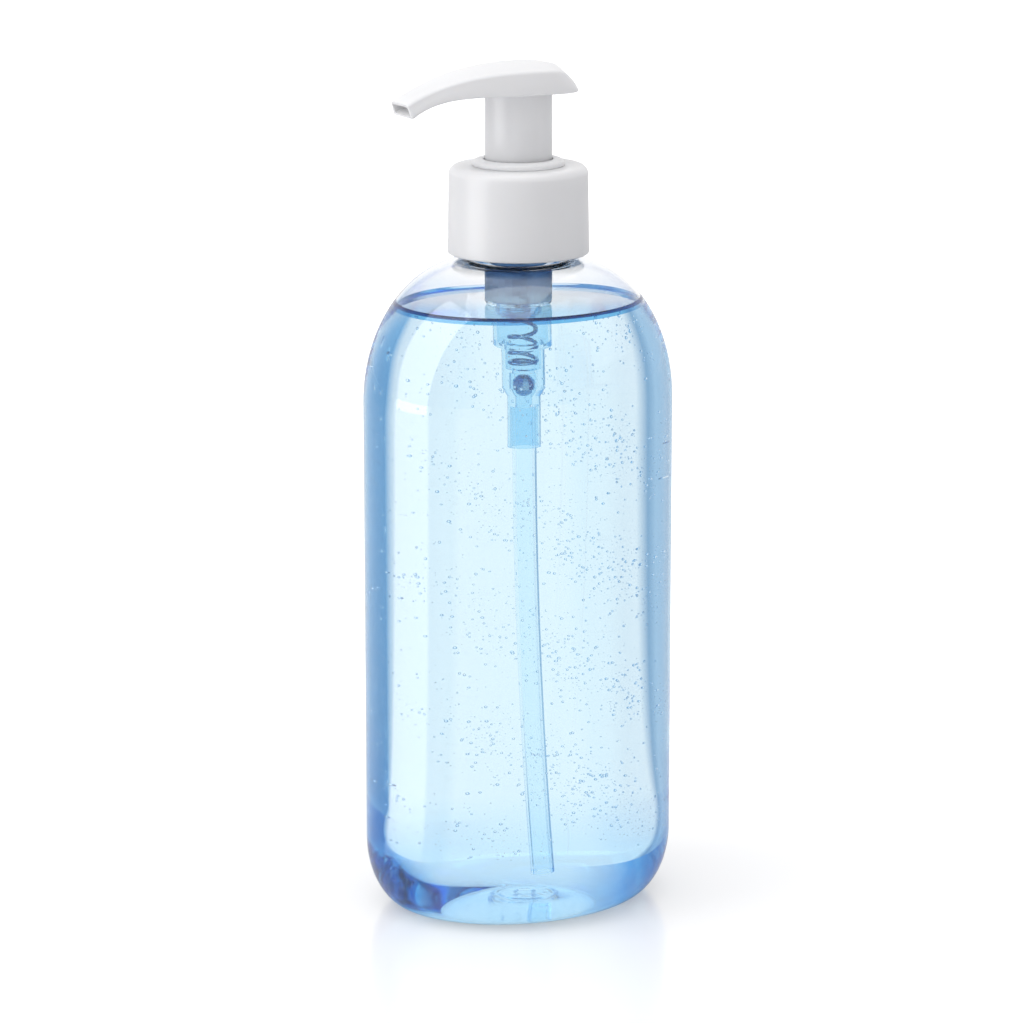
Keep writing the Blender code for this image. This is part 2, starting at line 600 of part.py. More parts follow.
def make_spring(mat):
    """Compression spring whose end turns lie close together."""
    steps_per_turn = 9
    mean_radius = SPRING_RADIUS - SPRING_WIRE
    closed_pitch = 2.3 * SPRING_WIRE
    length = SPRING_TOP - SPRING_BASE - 2 * SPRING_WIRE
    open_pitch = (length - 2 * closed_pitch) / (SPRING_TURNS - 2)
    path = []
    for k in range(SPRING_TURNS * steps_per_turn + 1):
        turns = k / steps_per_turn
        rise = closed_pitch * min(turns, 1.0)
        rise += open_pitch * min(max(turns - 1.0, 0.0), SPRING_TURNS - 2.0)
        rise += closed_pitch * max(turns - (SPRING_TURNS - 1.0), 0.0)
        angle = math.tau * turns
        path.append((Vector((math.cos(angle), math.sin(angle), 0.0)), SPRING_BASE + SPRING_WIRE + rise))
    rings = []
    wire_sides = 5
    for spoke, height in path:
        ring = []
        for j in range(wire_sides):
            angle = math.tau * j / wire_sides
            radius = mean_radius + SPRING_WIRE * math.cos(angle)
            ring.append(spoke * radius + Vector((0, 0, height + SPRING_WIRE * math.sin(angle))))
        rings.append(ring)
    return skinned("spring", rings, mat, sharp_angle=80)


def make_ball(mat):
    """Inlet valve's ball."""
    bm = bmesh.new()
    bmesh.ops.create_uvsphere(bm, u_segments=12, v_segments=8, radius=BALL_RADIUS)
    bmesh.ops.translate(bm, vec=(0, 0, BALL_CENTRE), verts=bm.verts)
    return add_object("valve_ball", bm, mat, sharp_angle=80)


def tube_path(start=TUBE_TOP, end=TUBE_BASE, steps=9):
    """The dip tube's middle line, straight down at first and then curling off the axis."""
    path = []
    for k in range(steps + 1):
        height = start + (end - start) * k / steps
        share = (TUBE_TOP - height) / (TUBE_TOP - TUBE_BASE)
        curl = max(share, 0.0) ** 2
        path.append(Vector((TUBE_CURL_X * curl, TUBE_CURL_Y * curl, height)))
    return path


def make_dip_tube(mat):
    return swept_tube("dip_tube", tube_path(), TUBE_RADIUS, TUBE_RADIUS - TUBE_WALL, mat, sides=12)


def head_half_width(along):
    """The paddle's half width: narrow at the nozzle, widest behind the stem."""
    if along <= REAR_ROUND_START:
        share = (along + HEAD_REACH) / (REAR_ROUND_START + HEAD_REACH)
        return NOZZLE_HALF_WIDTH + (HEAD_HALF_WIDTH - NOZZLE_HALF_WIDTH) * ease(share)
    share = (along - REAR_ROUND_START) / (HEAD_REAR - REAR_ROUND_START)
    return HEAD_HALF_WIDTH * (1.0 - share ** 3) ** (1 / 3)


def head_base(along):
    """Height of the head's underside, which bends down at the nozzle."""
    return HEAD_BASE - NOZZLE_BASE_DROP * max(-along / HEAD_REACH, 0.0) ** 5


def head_edge(along):
    """Height of the edge between the head's side and its top."""
    drop = NOZZLE_TOP_DROP * max(-along / HEAD_REACH, 0.0) ** 2.5
    drop += HEAD_REAR_DROP * max(along / HEAD_REAR, 0.0) ** 3
    return HEAD_BASE + HEAD_SIDE_HEIGHT - drop


def head_section(along):
    """One section of the head across the nozzle's direction, leaning at both ends."""
    half = head_half_width(along) if along < HEAD_REAR else 0.0
    base = head_base(along)
    edge = head_edge(along)
    dome = HEAD_DOME * ease((along + HEAD_REACH) / HEAD_REACH * 0.9 + 0.1)
    top_half = max(half - HEAD_SIDE_LEAN, half * 0.75)
    corner = min(HEAD_ROUND, half * 0.3)
    right = [(half - corner, base, 0.0), (half, base + corner, 0.12),
             (top_half + (half - top_half) * 0.12, edge - corner * 0.6, 0.9),
             (top_half - corner * 0.6, edge + dome * 0.10, 1.0)]
    for share in (0.72, 0.42):
        right.append((top_half * share, edge + dome * (1.0 - share ** 2), 1.0))
    left = [(-across, up, lean) for across, up, lean in reversed(right)]
    points = right + [(0.0, edge + dome, 1.0)] + left + [(0.0, base, 0.0)]
    rear = HEAD_REAR_LEAN * ease(along / HEAD_REAR)
    rake = NOZZLE_RAKE * ease(-along / HEAD_REACH)
    return [Vector((along - rear * lean + rake * (1.0 - lean), across, up))
            for across, up, lean in points]


def make_actuator(mat):
    """Pump head in one piece: paddle and nozzle, outer skirt, stem socket and flow channel."""
    front_steps = 11
    rear_steps = 6
    stations = [-HEAD_REACH + (HEAD_REACH + REAR_ROUND_START) * k / front_steps
                for k in range(front_steps + 1)]
    stations += [REAR_ROUND_START + (HEAD_REAR - REAR_ROUND_START)
                 * math.sin(math.pi / 2 * k / rear_steps) for k in range(1, rear_steps + 1)]
    head = skinned("actuator", [head_section(along) for along in stations], mat, sharp_angle=40)
    buried = HEAD_BASE + SKIRT_WALL
    skirt_base = COLLAR_TOP - SKIRT_ENGAGEMENT
    skirt = turned("actuator_skirt", [(SKIRT_RADIUS, buried), (SKIRT_RADIUS, skirt_base),
                                      (SKIRT_RADIUS - SKIRT_WALL, skirt_base),
                                      (SKIRT_RADIUS - SKIRT_WALL, buried)])
    guide_top = CHAPLET_BASE + CHAPLET_FLOOR + GUIDE_HEIGHT
    socket_base = guide_top + STROKE + 2 * FIT_GAP
    socket_radius = GUIDE_BORE + SOCKET_TUBE_WALL
    socket = turned("actuator_socket", [(socket_radius, buried), (socket_radius, socket_base),
                                        (GUIDE_BORE, socket_base), (GUIDE_BORE, buried)],
                    sides=SMALL_SIDES)
    channel_middle = (HEAD_BASE + head_edge(0.0)) / 2
    well_top = HEAD_BASE - STEM_TOP_DEPTH + FIT_GAP
    bore = turned("actuator_bore", [(0.0, channel_middle), (STEM_BORE + FIT_GAP, channel_middle),
                                    (STEM_BORE + FIT_GAP, well_top), (GUIDE_BORE, well_top),
                                    (GUIDE_BORE, socket_base - FIT_GAP),
                                    (0.0, socket_base - FIT_GAP)], sides=SMALL_SIDES)
    combine(head, skirt, "UNION")
    combine(head, socket, "UNION")
    combine(head, bore, "DIFFERENCE")
    combine(head, make_channel(), "DIFFERENCE")
    return head


def make_channel():
    """Cutter for the flow channel, from above the stem out through the nozzle's mouth."""
    rings = []
    steps = 12
    start = STEM_BORE + FIT_GAP
    end = -HEAD_REACH - NOZZLE_RAKE
    for k in range(steps + 1):
        along = start + (end - start) * k / steps
        share = ease(-along / HEAD_REACH)
        half = (CHANNEL_THROAT + (CHANNEL_WIDTH - CHANNEL_THROAT) * share) / 2
        middle = (head_base(along) + head_edge(along)) / 2
        low = middle - CHANNEL_HEIGHT / 2
        high = middle + CHANNEL_HEIGHT / 2
        rings.append([Vector((along, half, low)), Vector((along, half, high)),
                      Vector((along, -half, high)), Vector((along, -half, low))])
    return skinned("actuator_channel", rings)


def build():
    clear_scene()
    clear_plastic = material("clear_plastic", (0.93, 0.96, 0.98), 0.05, transmission=1.0, ior=1.57)
    gel = material("gel", (0.72, 0.86, 0.97), 0.05, transmission=1.0, ior=1.35)
    white_plastic = material("white_plastic", (0.86, 0.86, 0.87), 0.32)
    cloudy_plastic = material("cloudy_plastic", (0.80, 0.85, 0.90), 0.30, transmission=0.6)
    tube_plastic = material("tube_plastic", (0.82, 0.90, 0.96), 0.25, transmission=0.7)
    soft_plastic = material("soft_plastic", (0.80, 0.82, 0.84), 0.50)
    foam = material("foam", (0.90, 0.90, 0.88), 0.80)
    steel = material("steel", (0.62, 0.63, 0.65), 0.25, metallic=1.0)
    make_bottle(clear_plastic)
    make_gel(gel)
    make_closure(white_plastic)
    make_gasket(foam)
    make_housing(cloudy_plastic)
    make_chaplet(white_plastic)
    make_stem(white_plastic)
    make_piston(soft_plastic)
    make_piston_seat(soft_plastic)
    make_spring(steel)
    make_ball(steel)
    make_dip_tube(tube_plastic)
    make_actuator(white_plastic)


build()
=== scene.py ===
"""Looks of the body wash bottle: clear bottle, blue gel with bubbles, and a white lotion pump."""

import math
import random

import bmesh
import bpy
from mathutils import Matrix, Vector


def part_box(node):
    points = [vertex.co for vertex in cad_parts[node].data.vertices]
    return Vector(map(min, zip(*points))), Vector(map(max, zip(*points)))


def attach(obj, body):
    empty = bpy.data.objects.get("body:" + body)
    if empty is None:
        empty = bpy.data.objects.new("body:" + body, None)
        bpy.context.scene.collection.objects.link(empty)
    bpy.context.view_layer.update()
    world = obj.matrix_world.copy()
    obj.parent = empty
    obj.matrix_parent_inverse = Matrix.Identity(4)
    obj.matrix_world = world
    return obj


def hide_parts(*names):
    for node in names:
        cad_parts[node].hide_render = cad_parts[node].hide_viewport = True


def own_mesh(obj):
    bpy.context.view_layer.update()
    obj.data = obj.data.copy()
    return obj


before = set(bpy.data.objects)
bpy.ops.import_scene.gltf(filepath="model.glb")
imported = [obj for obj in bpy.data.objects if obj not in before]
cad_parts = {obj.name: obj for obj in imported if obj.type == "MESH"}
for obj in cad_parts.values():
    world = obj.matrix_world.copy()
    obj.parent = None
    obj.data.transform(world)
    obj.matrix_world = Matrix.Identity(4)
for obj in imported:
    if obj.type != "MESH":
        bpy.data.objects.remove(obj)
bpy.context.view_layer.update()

# Sizes of the bottle, as the frame has them, in metres
SPRING_LOW, SPRING_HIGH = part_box("spring")
HALF_LENGTH, HALF_DEPTH, NECK_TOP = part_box("bottle")[1]
GEL_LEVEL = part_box("body_wash")[1][2]

# Sizes that repeat the ones of the bottle's solids
BODY_WALL = 0.0008
CORNER_WIDTH = 0.0101
CORNER_RISE = 0.0167
CONTACT_WIDTH = 0.0030
PUSH_UP = 0.0050
SHOULDER_START = 0.1250
SHOULDER_RISE = 0.0342
SHOULDER_TOP = SHOULDER_START + SHOULDER_RISE
NECK_RADIUS = 0.0125
NECK_BORE = 0.0107
NECK_FILLET = 0.0021
THREAD_LEAD = 0.0254 / 6
THREAD_TURNS = 1.5
THREAD_DEPTH = 0.00115
THREAD_ROOT = 0.0021
THREAD_CREST = 0.0009
THREAD_TOP_MARGIN = 0.0021
GATE_RADIUS = 0.0018
GATE_HEIGHT = 0.0006
RING_RADIUS = 0.0055
RING_DEPTH = 0.0004
FIT_GAP = 0.0003
CLOSURE_RADIUS = 0.0170
CLOSURE_DRAFT = 0.00035
CLOSURE_ROUND = 0.0020
CLOSURE_WALL = 0.0010
CLOSURE_LIP = 0.0004
INNER_SKIRT_RAISE = 0.0026
SKIRT_GROOVE_ROOF = 0.0032
DECK_THICKNESS = 0.0013
CHAPLET_WALL = 0.00055
CHAPLET_FLOOR = 0.0012
COLLAR_RADIUS = 0.0110
COLLAR_HEIGHT = 0.0013
COLLAR_BEVEL = 0.0018
SNAP_DROP = 0.0083
SNAP_HEIGHT = 0.0010
SNAP_DEPTH = 0.0003
GUIDE_WALL = 0.0011
GUIDE_HEIGHT = 0.0033
STEM_RADIUS = 0.0030
STROKE = 0.0124
SKIRT_RADIUS = 0.00805
SKIRT_WALL = 0.0010
SKIRT_ENGAGEMENT = 0.0024
SKIRT_FILLET = 0.0006
SOCKET_TUBE_WALL = 0.0010
HEAD_LIFT = 0.0161
HEAD_SIDE_HEIGHT = 0.0057
HEAD_REACH = 0.0317
HEAD_REAR = 0.0133
HEAD_REAR_LEAN = 0.0034
HEAD_REAR_DROP = 0.0012
HEAD_HALF_WIDTH = 0.0110
HEAD_SIDE_LEAN = 0.0007
HEAD_ROUND = 0.0007
REAR_ROUND_START = 0.0045
NOZZLE_HALF_WIDTH = 0.0052
NOZZLE_TOP_DROP = 0.0067
NOZZLE_BASE_DROP = 0.0044
NOZZLE_RAKE = 0.0013
CHANNEL_WIDTH = 0.0080
CHANNEL_THROAT = 0.0040
CHANNEL_HEIGHT = 0.0022
CHANNEL_LENGTH = 0.019      # the open part of the nozzle that can be looked into
LIP_ROUND = 0.0004
SPRING_TURNS = 10
WIRE_RADIUS = 0.0004
COIL_RADIUS = 0.0026
CUP_WALL = 0.0008
TINY_EDGE = 0.0002          # bevels and overlaps too small to be a size of their own

# Heights, from the closure's lower rim up
CLOSURE_BASE, DECK_TOP = [corner[2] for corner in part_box("closure")]
DECK_BASE = DECK_TOP - DECK_THICKNESS
CHAPLET_BASE, COLLAR_TOP = [corner[2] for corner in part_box("chaplet")]
HEAD_BASE = COLLAR_TOP + HEAD_LIFT
HEAD_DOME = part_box("actuator")[1][2] - HEAD_BASE - HEAD_SIDE_HEIGHT
GUIDE_BORE = STEM_RADIUS + FIT_GAP
CHAPLET_BORE = SKIRT_RADIUS + FIT_GAP
CHAPLET_RADIUS = CHAPLET_BORE + CHAPLET_WALL

# The camera, as the photograph's outline gives it
VIEW_TURN = 0.485           # how far the oval is turned from the camera's line, in radians
VIEW_DISTANCE = 1.0533
VIEW_PITCH = 0.229
LOOK_HEIGHT = 0.0969
PHOTO_PIXELS = 1024
FOCAL_PIXELS = 4335.0
PHOTO_CENTRE_X = 518.4
SENSOR_MM = 36.0

AWAY = (math.sin(VIEW_TURN), math.cos(VIEW_TURN), 0.0)
ACROSS = (math.cos(VIEW_TURN), -math.sin(VIEW_TURN), 0.0)

WHITE = (1.0, 1.0, 1.0, 1.0)
ROOM_GREY = (0.67, 0.67, 0.68)
FLOOR_RADIUS = 3.0
KEY_AZIMUTH = 72
# Painted light: what is seen through the gel is set a little brighter than white
PAINTED_THROUGH_STRENGTH = 1.07
# Painted dark-blue shade that rays through the gel see towards the sides, from -1 at one side to 1 at
# the other
PAINTED_SIDE_SHADE_STOPS = ((-1.0, (0.04, 0.18, 0.38)), (-0.84, (0.22, 0.40, 0.60)), (-0.62, (0.40, 0.58, 0.76)),
              (-0.53, (0.24, 0.40, 0.58)), (-0.43, (1.0, 1.0, 1.0)), (0.65, (1.0, 1.0, 1.0)),
              (0.80, (0.30, 0.52, 0.76)), (0.97, (0.05, 0.20, 0.42)))
# The same painted shade for what is seen through the base, which is bluer
PAINTED_BASE_SHADE_STOPS = ((-1.0, (0.02, 0.14, 0.42)), (-0.72, (0.03, 0.20, 0.50)), (-0.45, (0.15, 0.44, 0.78)),
              (-0.15, (1.0, 1.0, 1.0)), (0.35, (1.0, 1.0, 1.0)), (0.62, (0.26, 0.55, 0.85)),
              (0.82, (0.06, 0.26, 0.58)), (0.97, (0.02, 0.14, 0.42)))
# Sides of the painted reflection of the softbox on the floor, as shares of its direction
PAINTED_REFLECTION_STOPS = (0.935, 0.962)
PAINTED_REFLECTION_STRENGTH = 3.5

BODY_SIDES = 160
WETTING = 0.00005           # the gel reaches this far into the walls that it wets
BUBBLES = 3200
MENISCUS = ((0.00008, 0.0005), (0.0002, 0.00075), (0.0005, 0.0010), (0.0010, 0.0011), (0.0018, 0.00115))


def new_object(name, bm, mat, smooth=True, sharp_angle=40):
    bmesh.ops.recalc_face_normals(bm, faces=bm.faces)
    mesh = bpy.data.meshes.new(name)
    bm.to_mesh(mesh)
    bm.free()
    if smooth:
        mesh.shade_smooth()
        mesh.set_sharp_from_angle(angle=math.radians(sharp_angle))
    mesh.materials.append(mat)
    obj = bpy.data.objects.new(name, mesh)
    bpy.context.scene.collection.objects.link(obj)
    return obj


def skin(rings, caps=True):
    """Join rings of points by faces; a ring of one point is a pole."""
    bm = bmesh.new()
    loops = [[bm.verts.new(point) for point in ring] for ring in rings]
    for lower, upper in zip(loops, loops[1:]):
        count = max(len(lower), len(upper))
        for k in range(count):
            after = (k + 1) % count
            if len(lower) == 1:
                bm.faces.new((lower[0], upper[after], upper[k]))
            elif len(upper) == 1:
                bm.faces.new((lower[k], lower[after], upper[0]))
            else:
                bm.faces.new((lower[k], lower[after], upper[after], upper[k]))
    if caps:
        for end in (loops[0], loops[-1]):
            if len(end) > 1:
                bm.faces.new(end)
    return bm


def ease(value):
    value = min(max(value, 0.0), 1.0)
    return value * value * (3.0 - 2.0 * value)


def oval(half_x, half_y, height, sides=BODY_SIDES):
    if half_x <= 0.0 or half_y <= 0.0:
        return [Vector((0.0, 0.0, height))]
    turn = math.tau / sides
    return [Vector((half_x * math.cos(k * turn), half_y * math.sin(k * turn), height))
            for k in range(sides)]


def base_stations(steps=24, corner_steps=28):
    inner_inset = CORNER_WIDTH + CONTACT_WIDTH
    stations = [(0.0, 0.0, PUSH_UP)]
    for k in range(1, steps + 1):
        share = k / steps
        stations.append((share * (HALF_LENGTH - inner_inset), share * (HALF_DEPTH - inner_inset),
                         PUSH_UP * (1.0 - share ** 2)))
    for k in range(corner_steps + 1):
        angle = math.pi / 2 * k / corner_steps
        inset = CORNER_WIDTH * (1.0 - math.sin(angle))
        stations.append((HALF_LENGTH - inset, HALF_DEPTH - inset,
                         CORNER_RISE * (1.0 - math.cos(angle))))
    return stations


def wall_stations(steps=10):
    return [(HALF_LENGTH, HALF_DEPTH, CORNER_RISE + (SHOULDER_START - CORNER_RISE) * k / steps)
            for k in range(1, steps)]


def shoulder_stations(steps=48, last_angle=83):
    stations = []
    for k in range(steps + 1):
        angle = math.radians(last_angle) * k / steps
        share = math.cos(angle)
        stations.append((NECK_RADIUS + (HALF_LENGTH - NECK_RADIUS) * share,
                         NECK_RADIUS + (HALF_DEPTH - NECK_RADIUS) * share,
                         SHOULDER_START + SHOULDER_RISE * math.sin(angle)))
    return stations


def offset_stations(stations, inset):
    """Move a run of stations inwards by one wall, square to the surface."""
    moved = []
    last = len(stations) - 1
    for k, (half_x, half_y, height) in enumerate(stations):
        before = stations[max(k - 1, 0)]
        after = stations[min(k + 1, last)]
        rise = after[2] - before[2]
        run_x = after[0] - before[0]
        run_y = after[1] - before[1]
        slope_x = math.hypot(rise, run_x)
        slope_y = math.hypot(rise, run_y)
        lift = inset * (run_x / slope_x + run_y / slope_y) / 2
        if half_x == 0.0:
            moved.append((0.0, 0.0, height + inset))
        else:
            moved.append((half_x - inset * rise / slope_x, half_y - inset * rise / slope_y,
                          height + lift))
    return moved


def body_stations(inset=0.0):
    stations = base_stations() + wall_stations() + shoulder_stations()
    return offset_stations(stations, inset) if inset else stations


def add_node(tree, kind, inputs=(), **settings):
    """Add a shader node with its settings; each input is a value, or another node's output."""
    node = tree.nodes.new("ShaderNode" + kind)
    for name, value in settings.items():
        setattr(node, name, value)
    for name, value in dict(inputs).items():
        if isinstance(value, bpy.types.NodeSocket):
            tree.links.new(value, node.inputs[name])
        else:
            node.inputs[name].default_value = value
    return node


def math_of(tree, operation, *values):
    inputs = dict(enumerate(values))
    return add_node(tree, "Math", inputs, operation=operation).outputs[0]


def dot_of(tree, vector, direction):
    return add_node(tree, "VectorMath", {0: vector, 1: direction},
                    operation="DOT_PRODUCT").outputs["Value"]


def smooth_share(tree, value, start, end, low=0.0, high=1.0):
    """Ease from low to high while a value goes from its start to its end."""
    return add_node(tree, "MapRange", {"Value": value, "From Min": start, "From Max": end,
                                       "To Min": low, "To Max": high},
                    interpolation_type="SMOOTHSTEP").outputs["Result"]


def mixed_colour(tree, factor, first, second):
    return add_node(tree, "Mix", {"Factor": factor, "A": first, "B": second},
                    data_type="RGBA").outputs["Result"]


def object_place(tree):
    return add_node(tree, "TexCoord").outputs["Object"]


def noise(tree, scale, detail=3.0, stretch=(1.0, 1.0, 1.0)):
    """Noise in the object's own space; the scale is per metre."""
    mapping = add_node(tree, "Mapping", {"Vector": object_place(tree), "Scale": stretch})
    return add_node(tree, "TexNoise", {"Vector": mapping.outputs["Vector"], "Scale": scale,
                                       "Detail": detail}).outputs["Fac"]


def ramp(tree, source, low, high):
    """Map a noise to a narrow range."""
    return add_node(tree, "MapRange", {"Value": source, "From Min": 0.1, "From Max": 0.9,
                                       "To Min": low, "To Max": high}).outputs["Result"]


def shader_of(name):
    mat = bpy.data.materials.new(name)
    mat.use_nodes = True
    return mat, mat.node_tree, mat.node_tree.nodes["Principled BSDF"]


def bump_from(tree, shader, height, strength, distance):
    bump = add_node(tree, "Bump", {"Strength": strength, "Distance": distance, "Height": height})
    tree.links.new(bump.outputs["Normal"], shader.inputs["Normal"])


def moulded_plastic(name, colour, roughness, grain=2600.0, milky=0.0, depth=0.0015):
    """Satin moulded plastic with a fine grain and slightly uneven gloss and colour."""
    mat, tree, shader = shader_of(name)
    soft = noise(tree, 60.0)
    tree.links.new(ramp(tree, soft, roughness - 0.02, roughness + 0.02), shader.inputs["Roughness"])
    shade = mixed_colour(tree, soft, (*[c * 0.992 for c in colour], 1.0), (*colour, 1.0))
    tree.links.new(shade, shader.inputs["Base Color"])
    shader.inputs["IOR"].default_value = 1.49
    shader.inputs["Subsurface Weight"].default_value = milky
    shader.inputs["Subsurface Radius"].default_value = (1.0, 0.95, 0.9)
    shader.inputs["Subsurface Scale"].default_value = depth
    bump_from(tree, shader, noise(tree, grain, 2.0), 0.12, 0.00002)
    return mat


def clear_bottle_plastic():
    """Blown clear plastic: very slight waves from the mould, and a blue tint in its thick base."""
    mat, tree, shader = shader_of("clear_bottle_plastic")
    parts = add_node(tree, "SeparateXYZ", {"Vector": object_place(tree)})
    share = add_node(tree, "MapRange", {"Value": parts.outputs["Z"], "From Max": NECK_TOP})
    tint = add_node(tree, "ValToRGB", {"Fac": share.outputs["Result"]})
    stops = tint.color_ramp.elements
    stops[0].position = 0.008 / NECK_TOP
    stops[0].color = (0.76, 0.90, 1.0, 1.0)
    stops[1].position = GEL_LEVEL / NECK_TOP
    stops[1].color = (0.997, 0.999, 1.0, 1.0)
    middle = stops.new(0.021 / NECK_TOP)
    middle.color = (0.985, 0.994, 1.0, 1.0)
    tree.links.new(tint.outputs["Color"], shader.inputs["Base Color"])
    shader.inputs["Transmission Weight"].default_value = 1.0
    shader.inputs["IOR"].default_value = 1.57
    waves = noise(tree, 45.0, 1.0, (1.0, 1.0, 0.4))
    tree.links.new(ramp(tree, waves, 0.0, 0.02), shader.inputs["Roughness"])
    bump_from(tree, shader, waves, 0.05, 0.0004)
    return mat


def gel_material(name="blue_gel", surface=(1.0, 1.0, 1.0)):
    """Blue gel: clear, coloured by the depth that the light goes through."""
    mat, tree, shader = shader_of(name)
    shader.inputs["Base Color"].default_value = (*surface, 1.0)
    shader.inputs["Transmission Weight"].default_value = 1.0
    shader.inputs["Roughness"].default_value = 0.0
    shader.inputs["IOR"].default_value = 1.36
    absorb = add_node(tree, "VolumeAbsorption", {"Color": (0.15, 0.72, 0.93, 1.0), "Density": 6.0})
    tree.links.new(absorb.outputs["Volume"], tree.nodes["Material Output"].inputs["Volume"])
    return mat


def far_share(tree, near, far, low, high):
    """A share that grows from the gel's near side to its far side."""
    return smooth_share(tree, dot_of(tree, object_place(tree), AWAY), near, far, low, high)


def gel_edge_material():
    """The curved edge where the gel creeps up the wall, with a painted dark-blue shade line at its near
    side.
    """
    mat = gel_material("gel_edge")
    tree = mat.node_tree
    # Painted shade: near-black blue on the near side, fading to pale blue on the far side
    shade = mixed_colour(tree, far_share(tree, 0.004, 0.016, 0.0, 1.0),
                         (0.0, 0.03, 0.14, 1.0), (0.75, 0.88, 1.0, 1.0))
    tree.links.new(shade, tree.nodes["Principled BSDF"].inputs["Base Color"])
    return mat


def gel_surface_material():
    """The gel's open surface: a painted reflection makes its far half mirror the room, and a painted
    darker blue shade shows on its near half.
    """
    # The darker blue surface colour is painted shade
    mat = gel_material("gel_surface", (0.46, 0.68, 0.82))
    tree = mat.node_tree
    # Painted reflection: the mirror's share is set by place, small at the near side and large at the
    # far side
    mirror = add_node(tree, "BsdfGlossy", {"Roughness": 0.06})
    mix = add_node(tree, "MixShader", {"Fac": far_share(tree, -0.014, 0.008, 0.05, 0.80),
                                       1: tree.nodes["Principled BSDF"].outputs["BSDF"],
                                       2: mirror.outputs["BSDF"]})
    tree.links.new(mix.outputs["Shader"], tree.nodes["Material Output"].inputs["Surface"])
    return mat


def cloudy_plastic(name, colour, top_colour, roughness, ior):
    """Natural plastic: frosted where it is dry and clearer where the gel wets it; its colour goes from
    the first colour at the gel level to the second just under the closure.
    """
    mat, tree, shader = shader_of(name)
    level = ramp(tree, noise(tree, 300.0), roughness - 0.02, roughness + 0.02)
    height = add_node(tree, "SeparateXYZ", {"Vector": object_place(tree)}).outputs["Z"]
    dry = add_node(tree, "MapRange", {"Value": height, "From Min": GEL_LEVEL - 0.0005,
                                      "From Max": GEL_LEVEL + 0.0005}).outputs["Result"]
    tree.links.new(math_of(tree, "MULTIPLY_ADD", dry, 0.35, level), shader.inputs["Roughness"])
    tree.links.new(math_of(tree, "MULTIPLY_ADD", dry, -0.35, 1.0),
                   shader.inputs["Transmission Weight"])
    # Colour by height, from the gel level up to just under the closure
    heights = add_node(tree, "CombineXYZ", {"X": height, "Y": height, "Z": height})
    tint = add_node(tree, "MapRange", {6: heights.outputs["Vector"], 7: (GEL_LEVEL,) * 3,
                                       8: (CLOSURE_BASE - 0.001,) * 3, 9: colour, 10: top_colour},
                    data_type="FLOAT_VECTOR")
    tree.links.new(tint.outputs["Vector"], shader.inputs["Base Color"])
    shader.inputs["IOR"].default_value = ior
    bump_from(tree, shader, noise(tree, 900.0, 2.0), 0.1, 0.00003)
    return mat


def steel_material():
    mat, tree, shader = shader_of("spring_steel")
    drawn = noise(tree, 900.0, 2.0, (1.0, 1.0, 8.0))
    tree.links.new(ramp(tree, drawn, 0.18, 0.32), shader.inputs["Roughness"])
    shader.inputs["Base Color"].default_value = (0.54, 0.63, 0.72, 1.0)
    shader.inputs["Metallic"].default_value = 1.0
    return mat


def turned(outline, sides=160):
    """Spin a closed outline of (radius, height) points round the pump's axis."""
    rings = [[Vector((radius * math.cos(k * math.tau / sides), radius * math.sin(k * math.tau / sides),
                      height)) for k in range(sides)] for radius, height in outline]
    return skin(rings + rings[:1], caps=False)


def arc(centre_r, centre_z, radius, start, end, steps):
    points = []
    for k in range(steps + 1):
        angle = math.radians(start + (end - start) * k / steps)
        points.append((centre_r + radius * math.cos(angle), centre_z + radius * math.sin(angle)))
    return points


def thread_ridge(wall_radius, crest_radius, middle):
    """A helical ridge, sunk a little into its wall and fading out at both ends."""
    sides = 96
    steps = round(THREAD_TURNS * sides)
    sunk = wall_radius + math.copysign(TINY_EDGE, wall_radius - crest_radius)
    rings = []
    for k in range(steps + 1):
        angle = (k - steps / 2) * math.tau / sides
        share = 0.05 + 0.95 * ease(min(k, steps - k) * math.tau / sides / 0.6)
        crest = wall_radius + (crest_radius - wall_radius) * share
        height = middle + THREAD_LEAD * angle / math.tau
        section = ((sunk, -THREAD_ROOT / 2), (crest, -THREAD_CREST / 2),
                   (crest, THREAD_CREST / 2), (sunk, THREAD_ROOT / 2))
        rings.append([Vector((r * math.cos(angle), r * math.sin(angle), height + up))
                      for r, up in section])
    return skin(rings)


